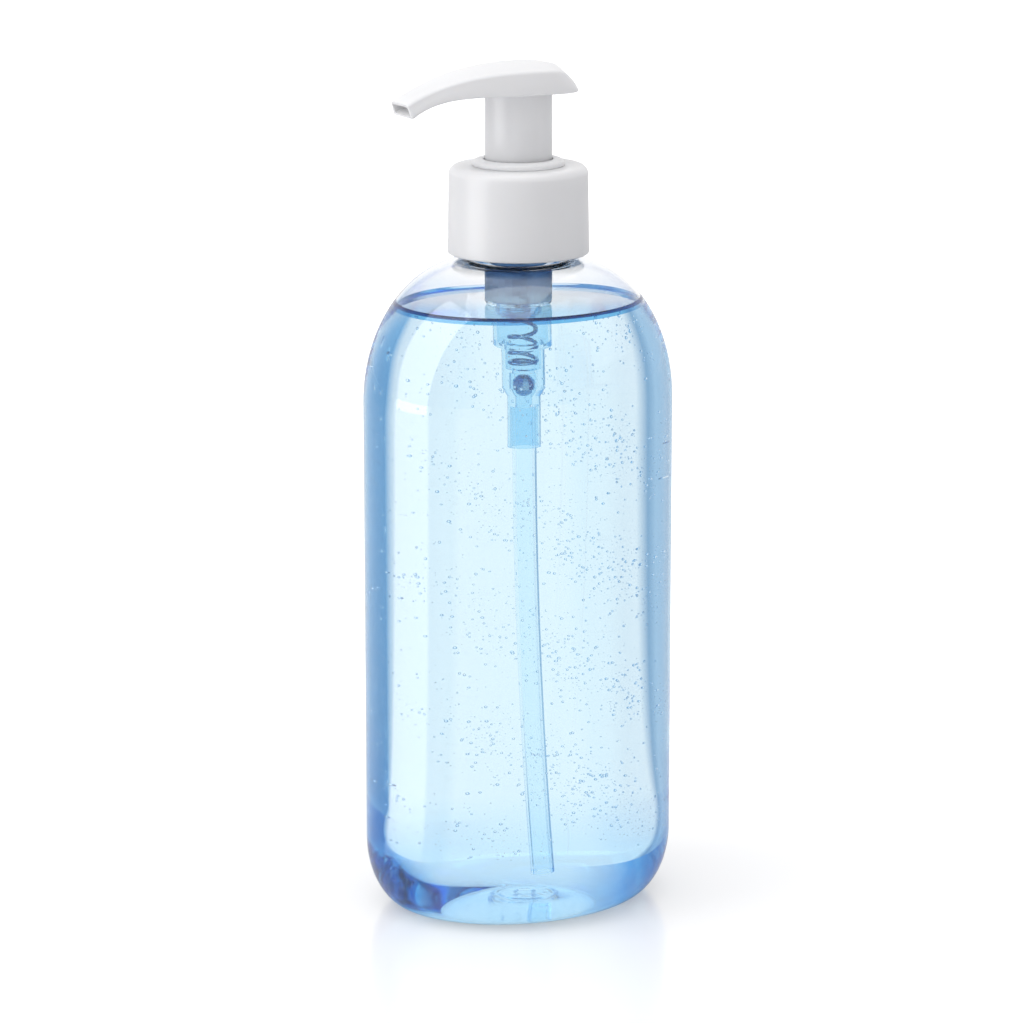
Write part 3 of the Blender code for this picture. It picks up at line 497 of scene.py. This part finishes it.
def make_bottle(mat):
    gate = [oval(0.0, 0.0, PUSH_UP - GATE_HEIGHT)]
    gate += [oval(radius, radius, PUSH_UP - drop) for radius, drop in
             ((GATE_RADIUS * 0.5, GATE_HEIGHT), (GATE_RADIUS * 0.8, GATE_HEIGHT),
              (GATE_RADIUS * 0.93, GATE_HEIGHT * 0.8), (GATE_RADIUS, GATE_HEIGHT * 0.4))]
    for k in range(1, 17):
        radius = GATE_RADIUS + 0.0003 * k
        ring = RING_DEPTH * math.exp(-((radius - RING_RADIUS) / 0.0006) ** 2)
        gate.append(oval(radius, radius, PUSH_UP * (1.0 - (radius / HALF_DEPTH) ** 2) - ring))
    outside = gate + [oval(*station) for station in body_stations()[10:]]
    inside = [oval(*station) for station in body_stations(BODY_WALL)]
    neck = []
    for k in range(1, 9):
        share = k / 8
        radius = NECK_RADIUS + 0.0027 * (1.0 - math.sin(share * math.pi / 2))
        neck.append(oval(radius, radius, SHOULDER_TOP - 0.0002
                         + (NECK_FILLET + 0.0002) * (1.0 - math.cos(share * math.pi / 2))))
    neck += [oval(NECK_RADIUS, NECK_RADIUS, NECK_TOP - 0.0003),
             oval(NECK_RADIUS - 0.0003, NECK_RADIUS - 0.0003, NECK_TOP),
             oval(NECK_BORE, NECK_BORE, NECK_TOP),
             oval(NECK_BORE, NECK_BORE, SHOULDER_TOP - BODY_WALL)]
    bottle = new_object("bottle_shell", skin(outside + neck + inside[::-1]), mat, sharp_angle=60)
    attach(bottle, "bottle")
    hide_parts("bottle")
    middle = NECK_TOP - THREAD_TOP_MARGIN - THREAD_ROOT / 2 - THREAD_LEAD * THREAD_TURNS / 2
    ridge = new_object("bottle_thread", thread_ridge(NECK_RADIUS, NECK_RADIUS + THREAD_DEPTH, middle),
                       mat)
    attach(ridge, "bottle")


def ball_form(subdivisions):
    """Points and faces of a small ball of radius 1."""
    bm = bmesh.new()
    bmesh.ops.create_icosphere(bm, subdivisions=subdivisions, radius=1.0)
    points = [vert.co.copy() for vert in bm.verts]
    faces = [[vert.index for vert in face.verts] for face in bm.faces]
    bm.free()
    return points, faces


def make_bubbles():
    """Many small bubbles, denser at one side, as hollows: their faces look inwards."""
    forms = {1: ball_form(1), 2: ball_form(2)}
    points = []
    faces = []
    draw = random.Random(7)
    placed = 0
    while placed < BUBBLES:
        x = draw.uniform(-HALF_LENGTH, HALF_LENGTH)
        y = draw.uniform(-HALF_DEPTH, HALF_DEPTH)
        z = draw.uniform(0.014, GEL_LEVEL - 0.004)
        radius = 0.00010 + 0.00026 * draw.random() ** 2.6
        inside = (x / (HALF_LENGTH - 0.003)) ** 2 + (y / (HALF_DEPTH - 0.003)) ** 2
        room = 0.72 if z < 0.020 or z > 0.132 else 0.90
        across = x * math.cos(VIEW_TURN) - y * math.sin(VIEW_TURN)
        density = 0.30 + 0.70 * ease((across + 0.022) / 0.034)
        density *= 0.55 + 0.45 * math.sin(z * 210.0 + x * 160.0)
        if inside > room or math.hypot(x, y) < 0.0068 or draw.random() > density:
            continue
        ball_points, ball_faces = forms[2 if radius > 0.0002 else 1]
        start = len(points)
        centre = Vector((x, y, z))
        points += [centre + point * radius for point in ball_points]
        faces += [[start + index for index in reversed(face)] for face in ball_faces]
        placed += 1
    return points, faces


def make_gel(mat, top_mat, edge_mat):
    """The gel wets the wall, creeps up a little at its edge and holds many small bubbles."""
    stations = body_stations(BODY_WALL - WETTING)
    below = [station for station in stations if station[2] < GEL_LEVEL]
    above = stations[len(below)]
    share = (GEL_LEVEL - below[-1][2]) / (above[2] - below[-1][2])
    edge = tuple(a + (b - a) * share for a, b in zip(below[-1], above))
    rings = [oval(*station) for station in below + [edge]]
    for inset, drop in MENISCUS:
        rings.append(oval(edge[0] - inset, edge[1] - inset, GEL_LEVEL - drop))
    for share in (0.7, 0.4, 0.15, 0.0):
        rings.append(oval(edge[0] * share, edge[1] * share, GEL_LEVEL - MENISCUS[-1][1]))
    bm = skin(rings)
    bmesh.ops.recalc_face_normals(bm, faces=bm.faces)
    for face in bm.faces:
        height = face.calc_center_median().z
        if height > GEL_LEVEL - MENISCUS[-1][1] * 1.1 and face.normal.z > 0.1:
            face.material_index = 1 if height < GEL_LEVEL - MENISCUS[-2][1] else 2
    bm.verts.ensure_lookup_table()
    points = [vert.co.copy() for vert in bm.verts]
    bm.verts.index_update()
    faces = [[vert.index for vert in face.verts] for face in bm.faces]
    slots = [face.material_index for face in bm.faces]
    bm.free()
    bubble_points, bubble_faces = make_bubbles()
    start = len(points)
    faces += [[start + index for index in face] for face in bubble_faces]
    slots += [0] * len(bubble_faces)
    mesh = bpy.data.meshes.new("gel")
    mesh.from_pydata([tuple(point) for point in points + bubble_points], [], faces)
    mesh.polygons.foreach_set("material_index", slots)
    mesh.shade_smooth()
    mesh.set_sharp_from_angle(angle=math.radians(60))
    for each in (mat, top_mat, edge_mat):
        mesh.materials.append(each)
    gel = bpy.data.objects.new("gel", mesh)
    bpy.context.scene.collection.objects.link(gel)
    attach(gel, "bottle")
    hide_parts("body_wash")


def make_spring(mat):
    """The real wire, with closed end turns."""
    wire = WIRE_RADIUS
    turns = SPRING_TURNS
    per_turn = 40
    low = SPRING_LOW[2] + wire
    length = SPRING_HIGH[2] - wire - low
    closed = 2.3 * wire
    pitch = (length - 2 * closed) / (turns - 2)
    rings = []
    for k in range(turns * per_turn + 1):
        at = k / per_turn
        rise = closed * min(at, 1.0) + pitch * min(max(at - 1.0, 0.0), turns - 2.0)
        rise += closed * max(at - (turns - 1.0), 0.0)
        angle = math.tau * at
        spoke = Vector((math.cos(angle), math.sin(angle), 0.0))
        rings.append([spoke * (COIL_RADIUS + wire * math.cos(j * math.tau / 12))
                      + Vector((0, 0, low + rise + wire * math.sin(j * math.tau / 12)))
                      for j in range(12)])
    spring = new_object("spring_wire", skin(rings), mat, sharp_angle=70)
    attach(spring, "pump")
    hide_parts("spring")
    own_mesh(spring)


def closure_outer(height):
    share = (height - CLOSURE_BASE) / (DECK_TOP - CLOSURE_BASE)
    return CLOSURE_RADIUS - CLOSURE_DRAFT * share


def make_closure(mat, inner_mat):
    """Smooth screw cap: rounded deck with a hole, outer skirt and threaded inner skirt."""
    round_base = DECK_TOP - CLOSURE_ROUND
    groove_roof = DECK_TOP - SKIRT_GROOVE_ROOF
    inner_base = CLOSURE_BASE + INNER_SKIRT_RAISE
    bore = NECK_RADIUS + THREAD_DEPTH + FIT_GAP
    hole = CHAPLET_RADIUS + CUP_WALL + 2 * FIT_GAP
    outline = [(CLOSURE_RADIUS - CLOSURE_LIP * 1.6, CLOSURE_BASE)]
    outline += arc(CLOSURE_RADIUS - CLOSURE_LIP, CLOSURE_BASE + CLOSURE_LIP, CLOSURE_LIP, -90, 0, 5)
    outline += [(closure_outer(CLOSURE_BASE + (round_base - CLOSURE_BASE) * k / 6),
                 CLOSURE_BASE + (round_base - CLOSURE_BASE) * k / 6) for k in range(1, 6)]
    outline += arc(closure_outer(round_base) - CLOSURE_ROUND, round_base, CLOSURE_ROUND, 0, 90, 14)
    outline += [(hole + TINY_EDGE, DECK_TOP), (hole, DECK_TOP - TINY_EDGE), (hole, DECK_BASE),
                (bore, DECK_BASE), (bore, inner_base), (bore + CLOSURE_WALL, inner_base),
                (bore + CLOSURE_WALL, groove_roof),
                (closure_outer(groove_roof) - CLOSURE_WALL, groove_roof),
                (CLOSURE_RADIUS - CLOSURE_WALL, CLOSURE_BASE)]
    bm = turned(outline)
    for face in bm.faces:
        middle = face.calc_center_median()
        if middle.to_2d().length < CLOSURE_RADIUS - CLOSURE_WALL and middle.z < DECK_BASE + 0.0001:
            face.material_index = 1
    closure = new_object("closure_shell", bm, mat, sharp_angle=50)
    closure.data.materials.append(inner_mat)
    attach(closure, "closure")
    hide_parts("closure")
    flank = (THREAD_ROOT - THREAD_CREST) / 2 / THREAD_DEPTH
    below = THREAD_ROOT - flank * (THREAD_DEPTH - FIT_GAP) + FIT_GAP
    middle = (NECK_TOP - THREAD_TOP_MARGIN - THREAD_ROOT / 2 - THREAD_LEAD * THREAD_TURNS / 2
              - below)
    ridge = new_object("closure_thread", thread_ridge(bore, bore - THREAD_DEPTH, middle), mat)
    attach(ridge, "closure")


def make_chaplet(mat):
    """The domed ring on the deck with the sleeve and the guide tube below it."""
    snap = DECK_TOP - SNAP_DROP
    floor = CHAPLET_BASE + CHAPLET_FLOOR
    guide = GUIDE_BORE + GUIDE_WALL
    outline = [(CHAPLET_BORE, COLLAR_TOP - TINY_EDGE), (CHAPLET_BORE + TINY_EDGE, COLLAR_TOP)]
    outline += [(COLLAR_RADIUS - COLLAR_BEVEL * (1.0 - math.sin(math.pi / 2 * k / 8)),
                 COLLAR_TOP - COLLAR_HEIGHT * 0.7 * (1.0 - math.cos(math.pi / 2 * k / 8)))
                for k in range(9)]
    seat = DECK_TOP + 0.00003
    outline += [(COLLAR_RADIUS, seat), (CHAPLET_RADIUS, seat),
                (CHAPLET_RADIUS, snap + SNAP_HEIGHT / 2), (CHAPLET_RADIUS + SNAP_DEPTH, snap),
                (CHAPLET_RADIUS, snap - SNAP_HEIGHT / 2), (CHAPLET_RADIUS, CHAPLET_BASE),
                (GUIDE_BORE, CHAPLET_BASE), (GUIDE_BORE, floor + GUIDE_HEIGHT),
                (guide, floor + GUIDE_HEIGHT), (guide, floor), (CHAPLET_BORE, floor)]
    chaplet = new_object("chaplet_ring", turned(outline, 128), mat, sharp_angle=45)
    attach(chaplet, "pump")
    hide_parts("chaplet")


def head_half_width(along):
    if along <= REAR_ROUND_START:
        share = (along + HEAD_REACH) / (REAR_ROUND_START + HEAD_REACH)
        return NOZZLE_HALF_WIDTH + (HEAD_HALF_WIDTH - NOZZLE_HALF_WIDTH) * ease(share)
    share = (along - REAR_ROUND_START) / (HEAD_REAR - REAR_ROUND_START)
    return HEAD_HALF_WIDTH * max(1.0 - share ** 3, 0.0) ** (1 / 3)


def head_base(along):
    return HEAD_BASE - NOZZLE_BASE_DROP * max(-along / HEAD_REACH, 0.0) ** 5


def head_edge(along):
    drop = NOZZLE_TOP_DROP * max(-along / HEAD_REACH, 0.0) ** 2.5
    drop += HEAD_REAR_DROP * max(along / HEAD_REAR, 0.0) ** 3
    return HEAD_BASE + HEAD_SIDE_HEIGHT - drop


def leaned(along, points, base, edge):
    """Put a section's (across, up) points in place, leaning as the head's two ends do."""
    rear = HEAD_REAR_LEAN * ease(along / HEAD_REAR)
    rake = NOZZLE_RAKE * ease(-along / HEAD_REACH)
    placed = []
    for across, up in points:
        lean = min(max((up - base) / (edge - base), 0.0), 1.0)
        placed.append(Vector((along - rear * lean ** 1.6 + rake * (1.0 - lean), across, up)))
    return placed


def head_section(along):
    """One section across the head, with rounded lower and upper edges and a domed top."""
    half = max(head_half_width(along), 0.0002)
    base = head_base(along)
    edge = head_edge(along)
    dome = HEAD_DOME * ease((along + HEAD_REACH) / HEAD_REACH * 0.9 + 0.1)
    top_half = max(half - HEAD_SIDE_LEAN, half * 0.75)
    low = min(HEAD_ROUND * 0.8, half * 0.4)
    high = min(HEAD_ROUND * 1.3, half * 0.4)
    right = [(half * share, base) for share in (0.0, 0.4)]
    right += [(half - low + low * math.sin(math.pi / 2 * k / 5),
               base + low - low * math.cos(math.pi / 2 * k / 5)) for k in range(6)]
    right.append(((half + top_half) / 2, (base + edge) / 2))
    crown = edge + dome * 0.10
    right += [(top_half - high + high * math.cos(math.pi / 2 * k / 7),
               crown - high + high * math.sin(math.pi / 2 * k / 7)) for k in range(8)]
    inner = top_half - high
    right += [(inner * share, crown + dome * 0.9 * (1.0 - share ** 2))
              for share in (0.85, 0.7, 0.55, 0.4, 0.25, 0.12, 0.0)]
    left = [(-across, up) for across, up in reversed(right[1:-1])]
    return leaned(along, right + left, base, edge)


def mouth_section(along, half, tall):
    """A rounded slot with as many points as the head's own section."""
    base = head_base(along)
    edge = head_edge(along)
    middle = (base + edge) / 2
    right = [(half * share, middle - tall) for share in (0.0, 0.4)]
    corner = tall * 0.45
    right += [(half - corner + corner * math.sin(math.pi / 2 * k / 5),
               middle - tall + corner - corner * math.cos(math.pi / 2 * k / 5)) for k in range(6)]
    right.append((half, middle))
    right += [(half - corner + corner * math.cos(math.pi / 2 * k / 7),
               middle + tall - corner + corner * math.sin(math.pi / 2 * k / 7)) for k in range(8)]
    right += [((half - corner) * share, middle + tall)
              for share in (0.85, 0.7, 0.55, 0.4, 0.25, 0.12, 0.0)]
    left = [(-across, up) for across, up in reversed(right[1:-1])]
    return leaned(along, right + left, base, edge)


def make_head(mat):
    """Paddle and hollow nozzle, with the skirt and the stem's socket under it."""
    front = -HEAD_REACH
    start = front + LIP_ROUND
    stations = [start + (REAR_ROUND_START - start) * k / 56 for k in range(57)]
    stations += [REAR_ROUND_START + (HEAD_REAR - REAR_ROUND_START) * math.sin(math.pi / 2 * k / 28)
                 for k in range(1, 29)]
    outside = [head_section(along) for along in stations[::-1]]
    lip = []
    for share in (0.35, 0.75, 1.0):
        ring = head_section(front + LIP_ROUND * (1.0 - share))
        centre = sum(ring, Vector()) / len(ring)
        lip.append([centre + (point - centre) * (1.0 - 0.035 * share ** 2) for point in ring])
    inside = []
    for k in range(15):
        along = front + CHANNEL_LENGTH * k / 14
        share = ease(-along / HEAD_REACH)
        half = (CHANNEL_THROAT + (CHANNEL_WIDTH - CHANNEL_THROAT) * share) / 2
        inside.append(mouth_section(along, half, CHANNEL_HEIGHT / 2))
    head = new_object("head_shell", skin(outside + lip + inside), mat, sharp_angle=48)
    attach(head, "head")
    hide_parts("actuator")
    skirt_base = COLLAR_TOP - SKIRT_ENGAGEMENT
    buried = HEAD_BASE + SKIRT_WALL
    flare = SKIRT_RADIUS + SKIRT_FILLET
    outline = [(flare, buried), (flare, HEAD_BASE - 0.00002)]
    outline += [(SKIRT_RADIUS + SKIRT_FILLET * (1.0 - math.sin(math.pi / 2 * k / 6)),
                 HEAD_BASE - SKIRT_FILLET * (1.0 - math.cos(math.pi / 2 * k / 6)))
                for k in range(1, 7)]
    outline += [(SKIRT_RADIUS, skirt_base + TINY_EDGE), (SKIRT_RADIUS - TINY_EDGE, skirt_base),
                (SKIRT_RADIUS - SKIRT_WALL, skirt_base), (SKIRT_RADIUS - SKIRT_WALL, buried)]
    skirt = new_object("head_skirt", turned(outline, 128), mat, sharp_angle=50)
    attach(skirt, "head")
    socket_base = CHAPLET_BASE + CHAPLET_FLOOR + GUIDE_HEIGHT + STROKE + 2 * FIT_GAP
    outer = GUIDE_BORE + SOCKET_TUBE_WALL
    socket = new_object("head_socket", turned([(outer, buried), (outer, socket_base),
                                               (GUIDE_BORE, socket_base), (GUIDE_BORE, buried)], 48),
                        mat)
    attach(socket, "head")


def dress_nodes(finishes):
    for node, mat in finishes.items():
        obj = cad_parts[node]
        obj.data.materials.clear()
        obj.data.materials.append(mat)
        obj.data.shade_smooth()
        obj.data.set_sharp_from_angle(angle=math.radians(35))


def make_camera():
    data = bpy.data.cameras.new("camera")
    data.sensor_width = SENSOR_MM
    data.lens = FOCAL_PIXELS / PHOTO_PIXELS * SENSOR_MM
    data.shift_x = -(PHOTO_CENTRE_X - PHOTO_PIXELS / 2) / PHOTO_PIXELS
    data.clip_start = 0.05
    data.clip_end = 20.0
    camera = bpy.data.objects.new("camera", data)
    flat = VIEW_DISTANCE * math.cos(VIEW_PITCH)
    camera.location = (-flat * math.sin(VIEW_TURN), -flat * math.cos(VIEW_TURN),
                       LOOK_HEIGHT + VIEW_DISTANCE * math.sin(VIEW_PITCH))
    look = Vector((0, 0, LOOK_HEIGHT)) - camera.location
    camera.rotation_euler = look.to_track_quat("-Z", "Y").to_euler()
    bpy.context.scene.collection.objects.link(camera)
    bpy.context.scene.camera = camera


def painted_side_shade(tree, vector, colours):
    """Painted shade: bright along the camera's line and dark blue to its sides, by a horizontal
    direction.
    """
    share = add_node(tree, "MapRange", {"Value": dot_of(tree, vector, ACROSS), "From Min": -1.0})
    shade = add_node(tree, "ValToRGB", {"Fac": share.outputs["Result"]})
    stops = shade.color_ramp.elements
    places = [(place + 1.0) / 2 for place, _ in colours]
    stops[0].position = places[0]
    stops[1].position = places[-1]
    for place in places[1:-1]:
        stops.new(place)
    for stop, (_, colour) in zip(stops, colours):
        stop.color = (*colour, 1.0)
    return shade.outputs["Color"]


def make_floor():
    """White for the camera with the light's soft shadow and a painted shade round the base; through the
    gel it shows painted dark-blue shade sideways.
    """
    bm = bmesh.new()
    bmesh.ops.create_circle(bm, cap_ends=True, segments=96, radius=FLOOR_RADIUS)
    mat, tree, shader = shader_of("pale_floor")
    shader.inputs["Base Color"].default_value = (0.80, 0.80, 0.81, 1.0)
    shader.inputs["Roughness"].default_value = 0.14
    path = add_node(tree, "LightPath")
    place = object_place(tree)
    away = add_node(tree, "VectorMath", {0: place}, operation="LENGTH").outputs["Value"]
    # Camera rays lift the floor towards white, less near the base: a painted shade round the base on
    # top of the light's real shadow
    lift = add_node(tree, "Emission", {"Strength": math_of(
        tree, "MULTIPLY", path.outputs["Is Camera Ray"],
        smooth_share(tree, away, 0.05, 0.35, 0.31, 0.75))})
    plain = add_node(tree, "AddShader", {0: shader.outputs["BSDF"], 1: lift.outputs["Emission"]})
    # Painted reflection of the softbox: a bright band on the floor that only glossy rays see, away from
    # the base
    direction = add_node(tree, "VectorMath", {0: place}, operation="NORMALIZE").outputs["Vector"]
    key_turn = VIEW_TURN + math.radians(KEY_AZIMUTH)
    toward = dot_of(tree, direction, (-math.sin(key_turn), -math.cos(key_turn), 0.0))
    glossy = math_of(tree, "MULTIPLY", smooth_share(tree, toward, *PAINTED_REFLECTION_STOPS),
                     path.outputs["Is Glossy Ray"])
    clear_of_base = add_node(tree, "MapRange", {"Value": away, "From Min": 0.07, "From Max": 0.12})
    painted_reflection = add_node(tree, "Emission", {"Strength": PAINTED_REFLECTION_STRENGTH})
    with_painted_reflection = add_node(tree, "MixShader", {
        "Fac": math_of(tree, "MULTIPLY", glossy, clear_of_base.outputs["Result"]),
        1: plain.outputs["Shader"], 2: painted_reflection.outputs["Emission"]})
    # Painted shade that the gel shows of the floor, by the direction from the bottle's far side: dark
    # blue to the sides, brighter than white along the camera's line
    from_back = add_node(tree, "VectorMath", {0: place, 1: [0.030 * part for part in AWAY]},
                         operation="SUBTRACT").outputs["Vector"]
    leaving = add_node(tree, "VectorMath", {0: from_back}, operation="NORMALIZE").outputs["Vector"]
    seen = add_node(tree, "Emission", {"Color": painted_side_shade(tree, leaving, PAINTED_SIDE_SHADE_STOPS),
                                       "Strength": PAINTED_THROUGH_STRENGTH})
    pick = add_node(tree, "MixShader", {"Fac": path.outputs["Is Transmission Ray"],
                                        1: with_painted_reflection.outputs["Shader"],
                                        2: seen.outputs["Emission"]})
    tree.links.new(pick.outputs["Shader"], tree.nodes["Material Output"].inputs["Surface"])
    floor = new_object("floor", bm, mat, smooth=False)


def make_world():
    """White for the camera, a soft grey room for light, and through the gel a painted dark-blue shade
    at its sides.
    """
    world = bpy.data.worlds.new("studio")
    bpy.context.scene.world = world
    world.use_nodes = True
    tree = world.node_tree
    path = add_node(tree, "LightPath")
    place = add_node(tree, "TexCoord").outputs["Generated"]
    behind = smooth_share(tree, dot_of(tree, place, AWAY), 0.45, 0.80)
    mirrored = math_of(tree, "MULTIPLY", behind, path.outputs["Is Glossy Ray"])
    room = mixed_colour(tree, mirrored, (*ROOM_GREY, 1.0), WHITE)
    # Painted shade for rays through the gel: dark blue to the sides, a little brighter than white along
    # the camera's line
    painted_through_shade = add_node(tree, "VectorMath", {0: painted_side_shade(tree, place, PAINTED_BASE_SHADE_STOPS),
                                           "Scale": PAINTED_THROUGH_STRENGTH}, operation="SCALE")
    through = mixed_colour(tree, path.outputs["Is Transmission Ray"], room,
                           painted_through_shade.outputs["Vector"])
    tree.links.new(mixed_colour(tree, path.outputs["Is Camera Ray"], through, WHITE),
                   tree.nodes["Background"].inputs["Color"])


def area_light(name, azimuth, elevation, distance, width, height, power):
    """A soft box that looks at the bottle's middle; azimuth 0 is the camera's side, in degrees."""
    data = bpy.data.lights.new(name, "AREA")
    data.shape = "RECTANGLE"
    data.size = width
    data.size_y = height
    data.energy = power
    lamp = bpy.data.objects.new(name, data)
    turn = VIEW_TURN + math.radians(azimuth)
    flat = distance * math.cos(math.radians(elevation))
    middle = Vector((0, 0, 0.1))
    lamp.location = middle + Vector((-flat * math.sin(turn), -flat * math.cos(turn),
                                     distance * math.sin(math.radians(elevation))))
    lamp.rotation_euler = (middle - lamp.location).to_track_quat("-Z", "Y").to_euler()
    bpy.context.scene.collection.objects.link(lamp)


def main():
    make_camera()
    white = moulded_plastic("white_plastic_satin", (0.86, 0.86, 0.87), 0.30, milky=0.4)
    make_bottle(clear_bottle_plastic())
    make_gel(gel_material(), gel_surface_material(), gel_edge_material())
    steel = steel_material()
    make_spring(steel)
    make_closure(white, moulded_plastic("white_plastic_thin_wall", (0.90, 0.91, 0.93), 0.35,
                                        milky=1.0, depth=0.008))
    make_chaplet(white)
    make_head(white)
    dress_nodes({
        "stem": white,
        "housing": cloudy_plastic("housing_plastic", (0.68, 0.87, 0.97), (0.34, 0.54, 0.90),
                                  0.10, 1.11),
        "dip_tube": cloudy_plastic("tube_plastic", (0.90, 0.97, 1.0), (0.90, 0.97, 1.0), 0.02, 1.10),
        "piston": moulded_plastic("piston_plastic", (0.72, 0.78, 0.84), 0.45),
        "piston_seat": moulded_plastic("seat_plastic", (0.60, 0.72, 0.84), 0.40),
        "gasket": moulded_plastic("gasket_foam", (0.84, 0.84, 0.82), 0.70, grain=5000.0),
        "valve_ball": steel,
    })
    make_floor()
    make_world()
    area_light("key_left", KEY_AZIMUTH, 26, 0.85, 0.58, 1.2, 3.15)
    area_light("fill_right", -80, 30, 1.4, 0.9, 0.9, 0.5)
    area_light("top", 10, 80, 1.1, 0.9, 0.9, 3.0)
    bpy.context.scene.view_settings.view_transform = "Standard"
    cycles = bpy.context.scene.cycles
    cycles.max_bounces = 200
    cycles.transmission_bounces = 160
    cycles.glossy_bounces = 160


main()
